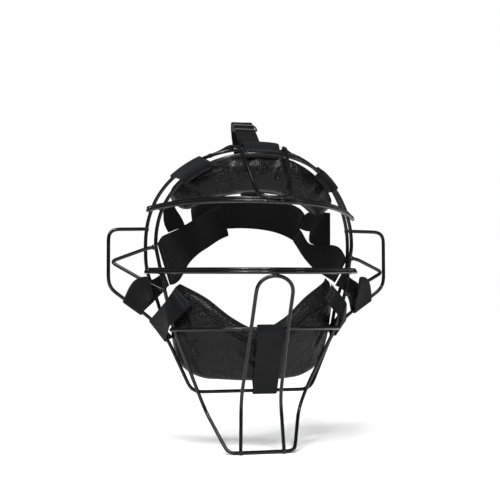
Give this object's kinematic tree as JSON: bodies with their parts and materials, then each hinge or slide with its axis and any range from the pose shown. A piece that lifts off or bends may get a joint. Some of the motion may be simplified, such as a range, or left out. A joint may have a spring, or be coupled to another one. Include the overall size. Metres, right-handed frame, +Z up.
{
  "type": "baseball face guard",
  "caption": "Black wire face guard with ear guards and throat guard, padded forehead and chin cushions, hook and loop tabs and an elastic head harness",
  "frame": {"origin": "on the middle plane, at the eye bar's height, level with the rear frame's temples, where the wearer's face meets the mask", "axes": "+Z up, +Y from the cage's front to the wearer's head, +X to the right as seen from the front; left and right are as seen from the front"},
  "size_m": [0.2902, 0.1876, 0.3334],
  "materials": {
    "black_wire": "gloss powder coat",
    "leather": "pebbled, slight sheen",
    "foam": "dense foam inside the cushions",
    "lining": "matt knitted lining",
    "tab_webbing": "ribbed webbing",
    "hook_and_loop": "hook and loop pile",
    "elastic": "woven elastic",
    "loop_webbing": "woven webbing",
    "buckle_plastic": "satin"
  },
  "bodies": {
    "cage": {"rear_frame_wire": "black_wire", "front_frame_wire": "black_wire", "jaw_and_ear_wire": "black_wire", "top_loop_wire": "black_wire", "brow_bar_front": "black_wire", "brow_bar_rear": "black_wire", "eye_bar_front": "black_wire", "eye_bar_rear": "black_wire", "chin_bar": "black_wire", "throat_loop_wire": "black_wire", "ear_brace_left": "black_wire", "ear_brace_right": "black_wire", "forehead_cover": "leather", "forehead_foam": "foam", "forehead_lining": "lining", "chin_cover": "leather", "chin_foam": "foam", "chin_lining": "lining", "forehead_tab_left": "tab_webbing", "forehead_tab_right": "tab_webbing", "forehead_tab_top": "tab_webbing", "chin_tab_left": "tab_webbing", "chin_tab_right": "tab_webbing", "chin_tab_middle": "tab_webbing", "side_strap_left": "elastic", "side_strap_right": "elastic", "side_loop_left": "loop_webbing", "side_loop_right": "loop_webbing", "temple_strap_left": "elastic", "temple_strap_right": "elastic", "top_strap": "elastic"},
    "harness": {"back_band": "elastic"},
    "buckle": {"strap_buckle": "buckle_plastic"},
    "forehead_flap_left": {"forehead_flap_left": "hook_and_loop"},
    "forehead_flap_right": {"forehead_flap_right": "hook_and_loop"},
    "chin_flap_left": {"chin_flap_left": "hook_and_loop"},
    "chin_flap_right": {"chin_flap_right": "hook_and_loop"},
    "chin_flap_middle": {"chin_flap_middle": "hook_and_loop"}
  },
  "joints": [
    {"name": "harness_stretch", "type": "slide", "parent": "cage", "child": "harness", "axis": [0, 1, 0], "range_m": [0, 0.04], "stiffness_N_per_m": 80},
    {"name": "buckle_slide", "type": "slide", "parent": "cage", "child": "buckle", "axis": [0.0723, 0.8866, 0.4569], "range_m": [-0.024, 0.006]},
    {"name": "forehead_flap_left_open", "type": "hinge", "parent": "cage", "child": "forehead_flap_left", "pos_m": [-0.06832, -0.01275, 0.10454], "axis": [0.7568, -0.0448, 0.6521], "range_deg": [0, 60]},
    {"name": "forehead_flap_right_open", "type": "hinge", "parent": "cage", "child": "forehead_flap_right", "pos_m": [0.0769, -0.00784, 0.09785], "axis": [0.6858, 0.0451, -0.7264], "range_deg": [0, 60]},
    {"name": "chin_flap_left_open", "type": "hinge", "parent": "cage", "child": "chin_flap_left", "pos_m": [-0.09449, -0.00643, -0.05952], "axis": [-0.8206, 0.1654, 0.547], "range_deg": [0, 45]},
    {"name": "chin_flap_right_open", "type": "hinge", "parent": "cage", "child": "chin_flap_right", "pos_m": [0.09551, -0.00632, -0.05795], "axis": [-0.9196, -0.02, -0.3925], "range_deg": [0, 45]},
    {"name": "chin_flap_middle_open", "type": "hinge", "parent": "cage", "child": "chin_flap_middle", "pos_m": [0.01332, -0.01087, -0.11907], "axis": [-0.9935, 0.0802, -0.0802], "range_deg": [0, 60]}
  ]
}
